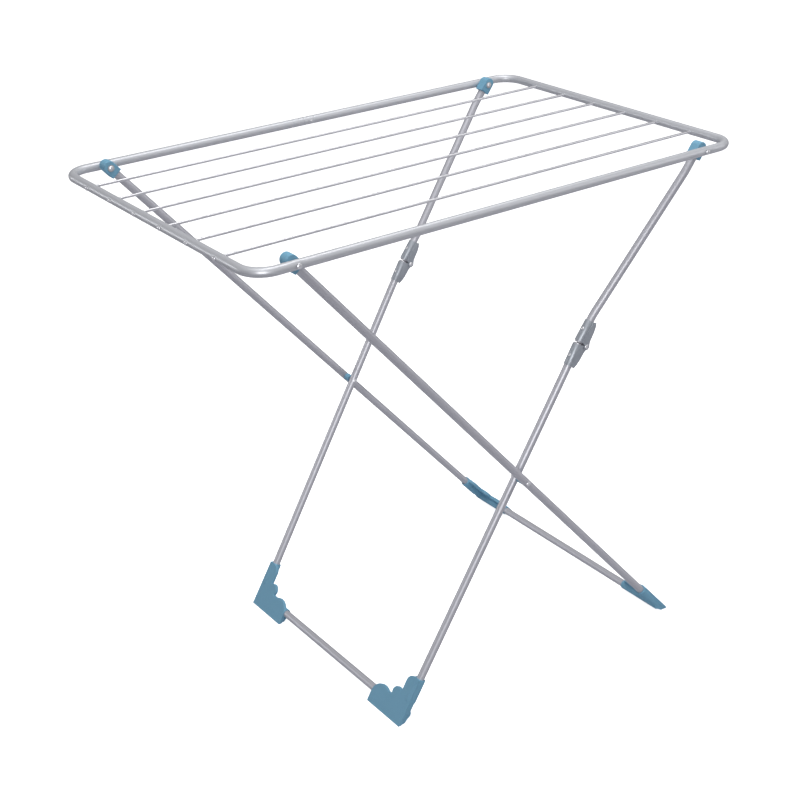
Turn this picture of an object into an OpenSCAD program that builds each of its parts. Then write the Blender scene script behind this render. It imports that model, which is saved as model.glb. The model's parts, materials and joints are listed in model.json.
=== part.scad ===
// Folding clothes drying rack, in millimetres.
// X runs along the rails, -Y is the front, +Z is up, and the origin is on the floor under the middle.
// The outer legs hang from the left end of the drying frame and stand on the right. The inner legs hang
// from the right end, are hinged at the knee, cross the outer legs and stand on the left.

/* [Drying frame] */
// Overall length of the frame tube
frame_l = 1020; // [900:10:1240]
// Overall width of the frame tube
frame_w = 640; // [540:10:780]
// Height of the frame's top above the floor
rack_h = 990; // [820:5:1200]
// Outside diameter of the frame tube
frame_d = 16; // [13:0.5:20]
// Wall of the frame tube
frame_wall = 1; // [0.8:0.1:1.6]
// Centre-line radius of the corner bends
corner_r = 40; // [30:1:70]
// Place of the tube's seam along the back of the frame
seam_x = -11; // [-80:1:80]
// Length of the sleeve inside the seam
sleeve_l = 90; // [60:5:140]

/* [Rails] */
// Number of rails
rail_count = 6; // [4:1:8]
// Diameter of a rail
rail_d = 5; // [4:0.5:6.5]
// Distance between two rails
rail_pitch = 85; // [60:1:88]
// Diameter of the peened end of a rail
rail_head_d = 8; // [7:0.5:10]
// Height of the peened end
rail_head_h = 1.4; // [1:0.1:2]

/* [Legs] */
// Outside diameter of the leg tubes
leg_d = 15; // [12.5:0.5:18]
// Wall of the leg tubes
leg_wall = 1; // [0.8:0.1:1.5]
// Distance from the frame's end to the pivots
pivot_inset = 82; // [70:1:110]
// How far the outer feet stand inside the opposite pivots
foot_inset = 18; // [0:1:60]
// Height of the crossbars' axes above the floor
crossbar_z = 17; // [15:0.5:24]
// How much each outer leg leans inwards from top to bottom
outer_toe_in = 12; // [0:1:30]
// How much each inner leg steps inwards from the frame to the knee
knee_step_in = 31; // [26:1:50]
// How much each lower inner leg leans inwards from the knee to the floor
inner_toe_in = 15; // [0:1:30]
// Pivot spacing less the distance from an outer leg's pivot to the crossing
fold_offset = 132.5; // [100:0.5:180]
// Angle by which the knee is past straight when the rack stands
knee_bend = 6; // [3:0.5:9]

/* [Caps] */
// Wall of the cap beside the leg, along the frame
cap_wall = 3.5; // [2.5:0.1:5]
// Wall of the cap in front of and behind the leg
cap_cheek = 1.9; // [1.5:0.1:3]
// Reach of the cap down the leg
cap_l = 17; // [14:1:30]
// Height of the cap's round crown above the pivot
cap_rise = 3; // [2:0.5:5]
// Gap between the cap and the frame tube
cap_gap = 0.6; // [0.3:0.1:1.5]

/* [Rivets] */
// Diameter of the pivot rivets, crossing rivets and knee pins
pin_d = 5; // [4:0.5:6]
// Diameter of their heads
pin_head_d = 9; // [8:0.5:10]
// Height of their heads
pin_head_h = 2; // [1.5:0.1:2.5]
// Diameter of the pivot washers
washer_d = 12; // [11:0.5:14]
// Thickness of the pivot washers
washer_t = 1; // [0.6:0.1:1.5]
// Diameter of the spacer at the crossing
spacer_d = 14; // [10:0.5:14.5]
// Gap between the spacer and the inner leg, which leans past it as the rack folds
crossing_gap = 1.4; // [1.4:0.1:3]
// Diameter of the small rivets in the brackets and the seam
tack_d = 3; // [2.5:0.5:4]
// Diameter of the small rivets' heads
tack_head_d = 6; // [5:0.5:7]
// Height of the small rivets' heads
tack_head_h = 1; // [0.8:0.1:1.5]

/* [Knee] */
// Distance from a leg's surface to the middle of the knee pin
knee_clear = 7; // [7:0.5:12]
// Thickness of the brackets' sheet metal
sheet_t = 1.2; // [0.8:0.1:1.5]
// Length of a bracket along its leg
bracket_l = 44; // [38:1:60]
// Radius of a bracket's round end about the knee pin
lobe_r = 6.5; // [6:0.5:8]
// Outside diameter of the bush between the lower bracket's ears
bush_d = 8; // [7:0.5:10]

/* [Feet] */
// Inward reach of a foot along the crossbar
foot_reach = 92; // [80:1:110]
// Reach of a foot up the leg
foot_l = 71; // [60:1:90]
// Thickness of the foot's plate
plate_t = 6.6; // [5:0.2:8]
// Wall of the foot's round sockets
socket_wall = 3; // [2:0.25:4]

/* [Hidden] */
$fn = 64;
fit_gap = 0.05;
side_gap = 0.3;
seam_gap = 0.4;
head_root = 0.4;
bend_cut = 0.45;
bend_l = 2.4;
bend_over = 0.1;
floor_cut = 60;
seam_tack_at = 18;
tube_over = 5;
tube_stop = 5;
crossbar_stop = 2;

frame_z = rack_h - frame_d / 2;
half_l = (frame_l - frame_d) / 2;
half_w = (frame_w - frame_d) / 2;
pivot_x = frame_l / 2 - pivot_inset;
frame_inner_y = frame_w / 2 - frame_d;
cap_w = leg_d + 2 * cap_wall;
cap_t = leg_d + 2 * cap_cheek;
leg_top_y = frame_inner_y - cap_gap - cap_t / 2;
cap_face_y = leg_top_y - cap_t / 2;
outer_foot_y = leg_top_y - outer_toe_in;
knee_y = leg_top_y - knee_step_in;
inner_foot_y = knee_y - inner_toe_in;
sleeve_d = frame_d - 2 * frame_wall - 2 * fit_gap;
pin_r = pin_d / 2;
hole_r = pin_r + fit_gap;
leg_r = leg_d / 2;
knee_offset = leg_r + knee_clear;

// Points of the side view, each as [x, z].
outer_pivot = [-pivot_x, frame_z];
inner_pivot = [pivot_x, frame_z];
outer_foot_pt = [pivot_x - foot_inset, crossbar_z];
outer_len = norm(outer_pivot - outer_foot_pt);
outer_up = (outer_pivot - outer_foot_pt) / outer_len;
crossing_dist = 2 * pivot_x - fold_offset;
crossing_pt = outer_pivot - crossing_dist * outer_up;

// The two parts of an inner leg close the triangle from the crossing to the inner pivot, and their
// lengths differ by fold_offset so that the legs lie along the frame when they are folded.
span = norm(inner_pivot - crossing_pt);
span_up = (inner_pivot - crossing_pt) / span;
inner_sum = sqrt((2 * pow(span, 2) - pow(fold_offset, 2) * (1 - cos(knee_bend))) / (1 + cos(knee_bend)));
shank_len = (inner_sum - fold_offset) / 2;
thigh_len = (inner_sum + fold_offset) / 2;
shank_turn = asin(thigh_len * sin(knee_bend) / span);
lower_up = turned(span_up, shank_turn);
knee_pt = crossing_pt + shank_len * lower_up;
lower_len = (knee_pt[1] - crossbar_z) / lower_up[1];
inner_foot_pt = knee_pt - lower_len * lower_up;
upper_up = (inner_pivot - knee_pt) / thigh_len;
knee_gap = knee_offset * tan(knee_bend / 2);

// Places across the width, for the back legs.
outer_tilt = asin(outer_toe_in / outer_len);
crossing_outer_y = leg_top_y - outer_toe_in * crossing_dist / outer_len;
bend_at = 58;
cap_bend_at = 46;
lower_tilt = atan(inner_toe_in / (lower_len - bend_at));
crossing_inner_y = knee_y - (shank_len - bend_at) * tan(lower_tilt);
spacer_y = crossing_inner_y + leg_r / cos(lower_tilt) + crossing_gap;

// Layers of the knee hinge, as distances from the leg's middle.
ear_in = leg_r + fit_gap;
ear_out = ear_in + sheet_t;
upper_ear_in = ear_out + side_gap;
upper_ear_out = upper_ear_in + sheet_t;
wrap_r = ear_out;
bracket_start = 3;
tack_at = 26;
ear_tip = 2;
ear_shoulder = [3.5, 4.5];
ear_belly = [6.2, 14];
ear_waist = [1.5, 5];
ear_dip = 1;

// Shape of a foot: u runs inwards from the leg's axis, v up the leg and w outwards from the rack.
socket_r = leg_r + fit_gap;
boss_r = leg_r + socket_wall;
boss_step = 1.1;
low_boss_r = boss_r - boss_step;
boss_start = 25;
edge_less = 0.8;
edge_u = boss_r - edge_less;
plate_w0 = 3;
foot_bottom = -36;
arm_r = 14;
arm_over = 13;
arm_in = leg_r + arm_over;
small_lobe = [30, 24.5];
small_lobe_r = 12.5;
big_lobe_r = 26;
big_lobe_drop = 5;
valley_v = 33;
saddle_v = 17;
web_start = 7;
web_v = 12;
web_over = 1;
web_under = 2;

// Direction d of the side view, turned by a degrees from +X towards +Z.
function turned(d, a) = [d[0] * cos(a) - d[1] * sin(a), d[0] * sin(a) + d[1] * cos(a)];
function lean(d) = atan2(d[0], d[1]);
function side_name(i) = i < 0 ? "front" : "back";
function rail_y(i) = (i - (rail_count + 1) / 2) * rail_pitch;

SIDES = [-1, 1];
PAIRS = ["outer_leg", "outer_foot", "outer_cap", "outer_pivot_rivet", "outer_pivot_washer",
    "crossing_spacer", "crossing_rivet_outer", "crossing_rivet_inner", "inner_upper_leg", "inner_cap",
    "inner_pivot_rivet", "inner_pivot_washer", "knee_upper_bracket", "knee_upper_tack", "knee_pin",
    "knee_lower_bracket", "knee_lower_tack", "knee_bush", "inner_lower_leg", "inner_foot"];

// ---------- helpers ----------

// Puts a child, drawn for the back, on the back or on the front.
module on_side(s) {
    mirror([0, s < 0 ? 1 : 0, 0]) children();
}

// Local frame at a point of the side view: +Z along d, +X to the right of it.
module along(p, y, d) {
    translate([p[0], y, p[1]]) rotate([0, lean(d), 0]) children();
}

module ring(d, wall) {
    difference() {
        circle(d = d);
        circle(d = d - 2 * wall);
    }
}

module tube(d, wall, l) {
    linear_extrude(l) ring(d, wall);
}

// Tube through the points [y, z] of the local YZ plane, which start low and end high. At each bend the
// two straight lengths end just short of the corner, inside a collar hardly thicker than the tube.
module bent_tube(pts, d, wall) {
    last = len(pts) - 2;
    heads = [for (i = [0:last]) atan2(pts[i + 1][0] - pts[i][0], pts[i + 1][1] - pts[i][1])];
    for (i = [0:last]) {
        cut0 = i == 0 ? 0 : bend_cut;
        cut1 = i == last ? 0 : bend_cut;
        translate([0, pts[i][0], pts[i][1]]) rotate([-heads[i], 0, 0]) translate([0, 0, cut0]) {
            tube(d, wall, norm(pts[i + 1] - pts[i]) - cut0 - cut1);
        }
    }
    for (i = [1:1:last]) {
        translate([0, pts[i][0], pts[i][1]]) rotate([-(heads[i] + heads[i - 1]) / 2, 0, 0]) {
            translate([0, 0, -bend_l / 2]) tube(d + 2 * bend_over, wall + 2 * bend_over, bend_l);
        }
    }
}

// Round pin along Y.
module y_pin(r, y0, y1) {
    translate([0, y0, 0]) rotate([-90, 0, 0]) cylinder(r = r, h = y1 - y0);
}

// Domed head on the plane z = 0, rising along +Z.
module dome(d, h) {
    ball_r = (d * d / 4 + h * h) / (2 * h);
    intersection() {
        cylinder(d = d, h = h);
        translate([0, 0, h - ball_r]) sphere(r = ball_r);
    }
}

// Headed end of a pin on a round tube whose top is at z = 0 and whose axis is along X.
module saddle_head(d, h, tube_d) {
    skirt = (tube_d - sqrt(tube_d * tube_d - d * d)) / 2;
    ball_r = (d * d / 4 + h * h) / (2 * h);
    difference() {
        intersection() {
            translate([0, 0, -skirt]) cylinder(d = d, h = h + skirt);
            translate([0, 0, h - ball_r]) sphere(r = ball_r);
        }
        translate([-d, 0, -tube_d / 2]) rotate([0, 90, 0]) cylinder(r = tube_d / 2 + fit_gap / 2, h = 2 * d);
    }
}

// ---------- drying frame ----------

module frame_side(l) {
    translate([-l / 2, 0, 0]) rotate([0, 90, 0]) tube(frame_d, frame_wall, l);
}

module frame_corner() {
    rotate_extrude(angle = 90) translate([corner_r, 0]) ring(frame_d, frame_wall);
}

module top_frame_tube() {
    straight_x = half_l - corner_r;
    straight_y = half_w - corner_r;
    color("silver") translate([0, 0, frame_z]) difference() {
        union() {
            translate([0, -half_w, 0]) frame_side(2 * straight_x);
            translate([(seam_x - seam_gap / 2 - straight_x) / 2, half_w, 0]) {
                frame_side(straight_x + seam_x - seam_gap / 2);
            }
            translate([(seam_x + seam_gap / 2 + straight_x) / 2, half_w, 0]) {
                frame_side(straight_x - seam_x - seam_gap / 2);
            }
            for (s = SIDES) translate([s * half_l, 0, 0]) rotate([0, 0, 90]) frame_side(2 * straight_y);
            for (k = [0:3]) {
                sx = k == 0 || k == 3 ? 1 : -1;
                sy = k < 2 ? 1 : -1;
                translate([sx * straight_x, sy * straight_y, 0]) rotate([0, 0, 90 * k]) frame_corner();
            }
        }
        for (i = [1:rail_count]) for (s = SIDES) {
            translate([s * half_l - frame_d, rail_y(i), 0]) rotate([0, 90, 0]) {
                cylinder(r = rail_d / 2 + fit_gap, h = 2 * frame_d);
            }
        }
        for (sx = SIDES) for (sy = SIDES) {
            translate([sx * pivot_x, sy * half_w - frame_d, 0]) y_pin(hole_r, 0, 2 * frame_d);
        }
        translate([seam_x + seam_tack_at, 0, 0]) y_pin(tack_d / 2 + fit_gap, half_w - frame_d, half_w);
    }
}

module seam_sleeve() {
    color("gainsboro") translate([seam_x, half_w, frame_z]) difference() {
        translate([-sleeve_l / 2, 0, 0]) rotate([0, 90, 0]) tube(sleeve_d, frame_wall, sleeve_l);
        translate([seam_tack_at, 0, 0]) y_pin(tack_d / 2 + fit_gap, -frame_d, 0);
    }
}

module seam_tack() {
    depth = 2 * frame_wall + 3 * fit_gap;
    color("gainsboro") translate([seam_x + seam_tack_at, frame_inner_y, frame_z]) rotate([90, 0, 0]) {
        saddle_head(tack_head_d, tack_head_h, frame_d);
        translate([0, 0, -depth]) cylinder(d = tack_d, h = depth + head_root);
    }
}

module rail(i) {
    color("gainsboro") translate([0, rail_y(i), frame_z]) {
        rotate([0, 90, 0]) translate([0, 0, -frame_l / 2 - head_root]) {
            cylinder(d = rail_d, h = frame_l + 2 * head_root);
        }
        for (s = SIDES) rotate([0, 0, s < 0 ? 180 : 0]) translate([frame_l / 2, 0, 0]) {
            rotate([0, 90, 0]) rotate([0, 0, 90]) saddle_head(rail_head_d, rail_head_h, frame_d);
        }
    }
}

// ---------- pivots at the frame ----------

// Rivet from the outside of the frame tube through the cap, fixed in the frame.
module pivot_rivet(p) {
    inner_y = cap_face_y - side_gap - washer_t;
    color("gainsboro") translate([p[0], 0, p[1]]) {
        translate([0, frame_w / 2, 0]) rotate([-90, 0, 0]) saddle_head(pin_head_d, pin_head_h, frame_d);
        y_pin(pin_r, inner_y, frame_w / 2 + head_root);
        translate([0, inner_y, 0]) rotate([90, 0, 0]) dome(pin_head_d, pin_head_h);
    }
}

module pivot_washer(p) {
    color("gray") translate([p[0], cap_face_y - side_gap - washer_t, p[1]]) difference() {
        y_pin(washer_d / 2, 0, washer_t);
        y_pin(hole_r, -washer_t, 2 * washer_t);
    }
}

// Block round the top end of a leg that points along d, with its socket open at the bottom.
module cap(p, d, tilt) {
    leg_end = tube_over + fit_gap;
    color("steelblue") along(p, leg_top_y, d) difference() {
        union() {
            translate([0, 0, cap_rise]) y_pin(cap_w / 2, -cap_t / 2, cap_t / 2);
            translate([-cap_w / 2, -cap_t / 2, -cap_l]) cube([cap_w, cap_t, cap_l + cap_rise]);
        }
        rotate([-tilt, 0, 0]) translate([0, 0, -2 * cap_l]) cylinder(r = socket_r, h = 2 * cap_l + leg_end);
        y_pin(hole_r, -cap_t, cap_t);
    }
}

// ---------- outer legs ----------

module outer_leg() {
    color("silver") difference() {
        along(outer_pivot, leg_top_y, outer_up) rotate([-outer_tilt, 0, 0]) {
            translate([0, 0, tube_stop - outer_len / cos(outer_tilt)]) {
                tube(leg_d, leg_wall, outer_len / cos(outer_tilt) - tube_stop + tube_over);
            }
        }
        for (p = [outer_pivot, crossing_pt]) {
            translate([p[0], 0, p[1]]) y_pin(hole_r, outer_foot_y - leg_d, leg_top_y + leg_d);
        }
    }
}

module crossbar(p, foot_y) {
    l = 2 * (foot_y - leg_r - crossbar_stop);
    color("silver") translate([p[0], -l / 2, p[1]]) rotate([-90, 0, 0]) tube(leg_d, leg_wall, l);
}

// ---------- feet ----------

module foot_outline() {
    big_lobe_u = foot_reach - big_lobe_r;
    translate([-edge_u, foot_bottom]) square([foot_reach + edge_u, -foot_bottom - big_lobe_drop]);
    translate([-edge_u, -web_v]) square([small_lobe[0] + edge_u, small_lobe[1] + web_v]);
    translate([-edge_u, 0]) square([arm_in + edge_u, foot_l - arm_r]);
    translate([-edge_u, 0]) square([arm_in - arm_r + edge_u, foot_l]);
    translate([arm_in - arm_r, foot_l - arm_r]) circle(r = arm_r);
    translate([small_lobe[0], -web_v]) square([big_lobe_u - small_lobe[0], saddle_v + web_v]);
    translate([arm_in - arm_r, 0]) square([small_lobe[0] - small_lobe_r / 2 - arm_in + arm_r, valley_v]);
    translate(small_lobe) circle(r = small_lobe_r);
    translate([big_lobe_u, -big_lobe_drop]) circle(r = big_lobe_r);
}

// Foot in its own frame: +X outwards from the rack, -Y inwards along the crossbar, +Z up the leg.
module foot_block(tilt) {
    difference() {
        union() {
            mirror([0, 1, 0]) rotate([90, 0, 90]) {
                translate([0, 0, plate_w0]) linear_extrude(plate_t) foot_outline();
            }
            rotate([-tilt, 0, 0]) {
                cylinder(r = low_boss_r, h = foot_l - boss_step);
                translate([0, 0, boss_start]) cylinder(r = boss_r, h = foot_l + boss_step - boss_start);
            }
            y_pin(low_boss_r, -foot_reach + boss_step, edge_u - boss_step);
            translate([0, edge_u - boss_step, 0]) rotate([90, 0, 0]) {
                linear_extrude(foot_reach + edge_u - 3 * boss_step) polygon([[-web_start, -low_boss_r / 2],
                    [plate_w0 + web_over, 0],
                    [plate_w0 + web_over, foot_bottom],
                    [plate_w0 - web_under, foot_bottom]]);
            }
        }
        rotate([-tilt, 0, 0]) translate([0, 0, tube_stop - fit_gap]) cylinder(r = socket_r, h = 2 * foot_l);
        y_pin(socket_r, -2 * foot_reach, -leg_r - crossbar_stop + fit_gap);
    }
}

module foot(p, foot_y, d, outwards, tilt) {
    color("steelblue") difference() {
        along(p, foot_y, d) mirror([outwards < 0 ? 1 : 0, 0, 0]) foot_block(tilt);
        translate([p[0] - 2 * floor_cut, foot_y - 3 * floor_cut, -floor_cut]) {
            cube([4 * floor_cut, 6 * floor_cut, floor_cut]);
        }
    }
}

// ---------- crossing ----------

module crossing_spacer() {
    color("steelblue") difference() {
        translate([crossing_pt[0], 0, crossing_pt[1]]) difference() {
            y_pin(spacer_d / 2, spacer_y, crossing_outer_y);
            y_pin(hole_r, 0, leg_top_y);
        }
        along(outer_pivot, leg_top_y, outer_up) rotate([-outer_tilt, 0, 0]) {
            translate([0, 0, -outer_len]) cylinder(r = socket_r, h = outer_len);
        }
    }
}

// Half of the crossing rivet that stays in the outer leg.
module crossing_rivet_outer() {
    outside_y = crossing_outer_y + leg_r / cos(outer_tilt) + fit_gap;
    color("gainsboro") translate([crossing_pt[0], 0, crossing_pt[1]]) {
        y_pin(pin_r, spacer_y, outside_y + head_root);
        translate([0, outside_y, 0]) rotate([-90, 0, 0]) dome(pin_head_d, pin_head_h);
    }
}

// Half of the crossing rivet that stays in the inner leg.
module crossing_rivet_inner() {
    inside_y = crossing_inner_y - leg_r / cos(lower_tilt) - fit_gap;
    color("gainsboro") translate([crossing_pt[0], 0, crossing_pt[1]]) {
        y_pin(pin_r, inside_y - head_root, spacer_y - side_gap);
        translate([0, inside_y, 0]) rotate([90, 0, 0]) dome(pin_head_d, pin_head_h);
    }
}

// ---------- inner legs ----------

module inner_upper_leg() {
    color("silver") along(knee_pt, knee_y, upper_up) difference() {
        bent_tube([[0, knee_gap], [0, bend_at], [knee_step_in, thigh_len - cap_bend_at],
            [knee_step_in, thigh_len + tube_over]], leg_d, leg_wall);
        translate([0, 0, thigh_len]) y_pin(hole_r, knee_step_in - leg_d, knee_step_in + leg_d);
        translate([0, 0, tack_at]) tack_hole();
    }
}

module inner_lower_leg() {
    color("silver") difference() {
        along(knee_pt, knee_y, lower_up) difference() {
            bent_tube([[-inner_toe_in * (lower_len - tube_stop - bend_at) / (lower_len - bend_at),
                tube_stop - lower_len], [0, -bend_at], [0, -knee_gap]], leg_d, leg_wall);
            translate([0, 0, -tack_at]) tack_hole();
        }
        translate([crossing_pt[0], 0, crossing_pt[1]]) {
            y_pin(hole_r, crossing_inner_y - leg_d, crossing_inner_y + leg_d);
        }
    }
}

// ---------- knee ----------

module tack_hole() {
    rotate([0, -90, 0]) cylinder(r = tack_d / 2 + fit_gap, h = leg_d);
}

module knee_tack(at) {
    reach = wrap_r - leg_r + leg_wall + fit_gap;
    color("gainsboro") translate([-wrap_r, 0, at]) rotate([0, -90, 0]) {
        saddle_head(tack_head_d, tack_head_h, 2 * wrap_r);
        translate([0, 0, -reach]) cylinder(d = tack_d, h = reach + head_root);
    }
}

// Outline of an ear above the knee: n to the right of the leg's axis, then up the leg.
module ear_outline() {
    pin_at = [knee_offset, knee_gap];
    polygon([[0, bracket_start], [0, bracket_l], [leg_r, bracket_l + ear_tip],
        [leg_r + ear_shoulder[0], bracket_l - ear_shoulder[1]],
        [leg_r + ear_belly[0], bracket_l - ear_belly[1]],
        [knee_offset, lobe_r] + ear_waist, pin_at + [lobe_r, 0], pin_at - [0, ear_dip],
        pin_at - [lobe_r, 0]]);
    translate([knee_offset, knee_gap]) circle(r = lobe_r);
}

// Pair of ears between the given distances from the leg's middle.
module ears(y0, y1) {
    for (s = SIDES) mirror([0, s < 0 ? 1 : 0, 0]) translate([0, y1, 0]) rotate([90, 0, 0]) {
        linear_extrude(y1 - y0) difference() {
            ear_outline();
            translate([knee_offset, knee_gap]) circle(r = hole_r);
        }
    }
}

// Half ring on the left of the leg that carries the ears.
module wrap() {
    translate([0, 0, bracket_start]) linear_extrude(bracket_l - bracket_start) difference() {
        circle(r = wrap_r);
        circle(r = ear_in);
        translate([0, -leg_d]) square([leg_d, 2 * leg_d]);
    }
}

module knee_upper_bracket() {
    color("slategray") along(knee_pt, knee_y, upper_up) difference() {
        union() {
            wrap();
            ears(upper_ear_in, upper_ear_out);
            for (s = SIDES) mirror([0, s < 0 ? 1 : 0, 0]) {
                translate([0, ear_in, bracket_start]) {
                    cube([sheet_t, upper_ear_out - ear_in, bracket_l - bracket_start]);
                }
            }
        }
        translate([0, 0, tack_at]) tack_hole();
    }
}

module knee_lower_bracket() {
    color("slategray") along(knee_pt, knee_y, lower_up) mirror([0, 0, 1]) difference() {
        union() {
            wrap();
            ears(ear_in, ear_out);
        }
        translate([0, 0, tack_at]) tack_hole();
    }
}

module at_knee_pin() {
    along(knee_pt, knee_y, upper_up) translate([knee_offset, 0, knee_gap]) children();
}

module knee_pin() {
    color("gainsboro") at_knee_pin() {
        reach = upper_ear_out + fit_gap;
        y_pin(pin_r, -reach, reach);
        for (s = SIDES) mirror([0, s < 0 ? 1 : 0, 0]) translate([0, reach, 0]) {
            rotate([-90, 0, 0]) dome(pin_head_d, pin_head_h);
        }
    }
}

module knee_bush() {
    reach = ear_in - fit_gap;
    color("gray") at_knee_pin() difference() {
        y_pin(bush_d / 2, -reach, reach);
        y_pin(hole_r, -leg_d, leg_d);
    }
}

// ---------- drawing ----------

top_frame_tube();
seam_sleeve();
seam_tack();
for (i = [1:rail_count]) {
    rail(i);
}
crossbar(outer_foot_pt, outer_foot_y);  // outer_crossbar
crossbar(inner_foot_pt, inner_foot_y);  // inner_crossbar
for (s = SIDES) on_side(s) {
    side = side_name(s);
    outer_leg();
    union() {
        foot(outer_foot_pt, outer_foot_y, outer_up, 1, outer_tilt);
    }
    cap(outer_pivot, outer_up, outer_tilt);
    pivot_rivet(outer_pivot);
    pivot_washer(outer_pivot);
    crossing_spacer();
    crossing_rivet_outer();
    crossing_rivet_inner();
    inner_upper_leg();
    cap(inner_pivot, upper_up, 0);
    pivot_rivet(inner_pivot);
    pivot_washer(inner_pivot);
    knee_upper_bracket();
    union() {
        along(knee_pt, knee_y, upper_up) knee_tack(tack_at);
    }
    knee_pin();
    knee_lower_bracket();
    union() {
        along(knee_pt, knee_y, lower_up) knee_tack(-tack_at);
    }
    knee_bush();
    inner_lower_leg();
    union() {
        foot(inner_foot_pt, inner_foot_y, lower_up, -1, lower_tilt);
    }
}
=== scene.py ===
"""Looks of a folding clothes drying rack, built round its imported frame.

Everything is in metres in the frame's own axes: X along the rails, -Y the front, Z up, the floor at Z = 0.
"""

import json
import math

import bmesh
import bpy
import numpy as np
from mathutils import Matrix, Vector


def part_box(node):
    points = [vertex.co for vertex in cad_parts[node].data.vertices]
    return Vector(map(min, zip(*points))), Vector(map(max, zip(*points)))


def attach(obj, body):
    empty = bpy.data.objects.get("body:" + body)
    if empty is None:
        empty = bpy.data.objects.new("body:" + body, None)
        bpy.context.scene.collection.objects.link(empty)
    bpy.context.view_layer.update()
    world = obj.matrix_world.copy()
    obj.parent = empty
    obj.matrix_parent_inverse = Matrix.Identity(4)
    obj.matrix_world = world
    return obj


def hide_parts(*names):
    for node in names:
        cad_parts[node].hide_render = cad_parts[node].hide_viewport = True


bl_info = {
    "name": "Folding clothes drying rack",
    "version": (1, 0, 0),
    "blender": (4, 5, 0),
    "location": "3D View > Sidebar > Drying rack",
    "description": "Tubes, rails, mouldings, brackets, rivets and finishes of a folding drying rack",
    "category": "Object",
}

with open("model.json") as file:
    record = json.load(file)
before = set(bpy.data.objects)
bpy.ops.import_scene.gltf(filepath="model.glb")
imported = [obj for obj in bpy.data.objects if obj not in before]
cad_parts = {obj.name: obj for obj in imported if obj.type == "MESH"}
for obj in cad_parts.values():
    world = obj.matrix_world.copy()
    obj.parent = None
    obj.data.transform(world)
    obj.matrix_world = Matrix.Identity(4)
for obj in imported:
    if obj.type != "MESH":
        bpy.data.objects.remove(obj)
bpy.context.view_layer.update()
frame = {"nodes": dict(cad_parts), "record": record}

SIDES = ("front", "back")
PIVOT_RIVETS = [f"{leg}_pivot_rivet_{side}" for leg in ("outer", "inner") for side in SIDES]
SEAM_GROOVES = (0.009, 0.024)  # distances of the crimped grooves from the seam
FLOOR_HALF = 14
UP = Vector((0, 0, 1))
ACROSS = Vector((0, 1, 0))


# ---------- places read from the frame ----------

def extent(node):
    """Size of a node's box along X, Y and Z."""
    low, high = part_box(node)
    return high - low


def middle(node):
    """Middle of a node's box."""
    low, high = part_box(node)
    return (low + high) / 2


def node_points(node):
    """A node's corners as rows of numbers."""
    return np.array([corner.co for corner in frame["nodes"][node].data.vertices], float)


def end_middle(node, direction, depth=0.0004):
    """Middle of the ring of corners at a tube's far end along a direction."""
    points = node_points(node)
    reach = points @ np.array(direction)
    ring = np.unique(np.round(points[reach > reach.max() - depth], 6), axis=0)
    return Vector((ring.min(axis=0) + ring.max(axis=0)) / 2)


def tube_ends(node, direction, upright=(False, False)):
    """Both ends of a tube's axis, the one against the direction first.

    An upright end is cut square to the tube's direction seen from the rack's side.
    """
    way = Vector(direction).normalized()
    for _ in range(3):
        seen = Vector((way.x, 0, way.z)).normalized()
        near = end_middle(node, -(seen if upright[0] else way))
        far = end_middle(node, seen if upright[1] else way)
        way = (far - near).normalized()
    return near, far


def flat_direction(start, end):
    """Direction from start to end with no part across the rack."""
    return Vector((end.x - start.x, 0, end.z - start.z)).normalized()


# ---------- node trees ----------

class Value:
    """A node's output socket. Sums, products and quotients with it add Math nodes to its tree."""

    def __init__(self, graph, socket):
        self.graph = graph
        self.socket = socket

    def math(self, operation, *others):
        settings = {"operation": operation}
        return self.graph.add("ShaderNodeMath", settings, dict(enumerate((self, *others)))).out()

    def __add__(self, other):
        return self.math("ADD", other)

    __radd__ = __add__

    def __sub__(self, other):
        return self.math("SUBTRACT", other)

    def __rsub__(self, other):
        return self.math("MULTIPLY_ADD", -1.0, other)

    def __mul__(self, other):
        return self.math("MULTIPLY", other)

    __rmul__ = __mul__

    def __truediv__(self, other):
        return self.math("DIVIDE", other)

    def __pow__(self, other):
        return self.math("POWER", other)

    def step(self, low, high, low_value=0.0, high_value=1.0):
        """Smooth change from low_value to high_value as this goes from low to high."""
        settings = {"interpolation_type": "SMOOTHSTEP"}
        sockets = {"Value": self, "From Min": low, "From Max": high, "To Min": low_value,
                   "To Max": high_value}
        return self.graph.add("ShaderNodeMapRange", settings, sockets).out()


class Node:
    """A node whose outputs are reached as values."""

    def __init__(self, graph, node):
        self.graph = graph
        self.node = node

    def out(self, name=0):
        return Value(self.graph, self.node.outputs[name])


class Graph:
    """A shader or geometry tree that grows node by node."""

    def __init__(self, tree):
        self.tree = tree

    def add(self, kind, settings=None, sockets=None):
        """Adds a node of a kind, its settings first and then the values or links of its sockets."""
        node = self.tree.nodes.new(kind)
        for name, value in (settings or {}).items():
            setattr(node, name, value)
        for name, value in (sockets or {}).items():
            if isinstance(value, Value):
                self.tree.links.new(value.socket, node.inputs[name])
            else:
                node.inputs[name].default_value = value
        return Node(self, node)

    def mix(self, factor, first, second):
        """Colour between first and second."""
        sockets = {0: factor, 6: first, 7: second}
        return self.add("ShaderNodeMix", {"data_type": "RGBA"}, sockets).out(2)

    def noise(self, vector, scale, detail=2.0, roughness=0.5):
        """Smooth noise from 0 to 1."""
        sockets = {"Vector": vector, "Scale": scale, "Detail": detail, "Roughness": roughness}
        return self.add("ShaderNodeTexNoise", {}, sockets).out("Fac")

    def scaled(self, vector, scale):
        """Vector whose parts are multiplied by those of scale."""
        sockets = {"Vector": vector, "Scale": scale}
        return self.add("ShaderNodeMapping", {"vector_type": "POINT"}, sockets).out()


# ---------- materials ----------

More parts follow.
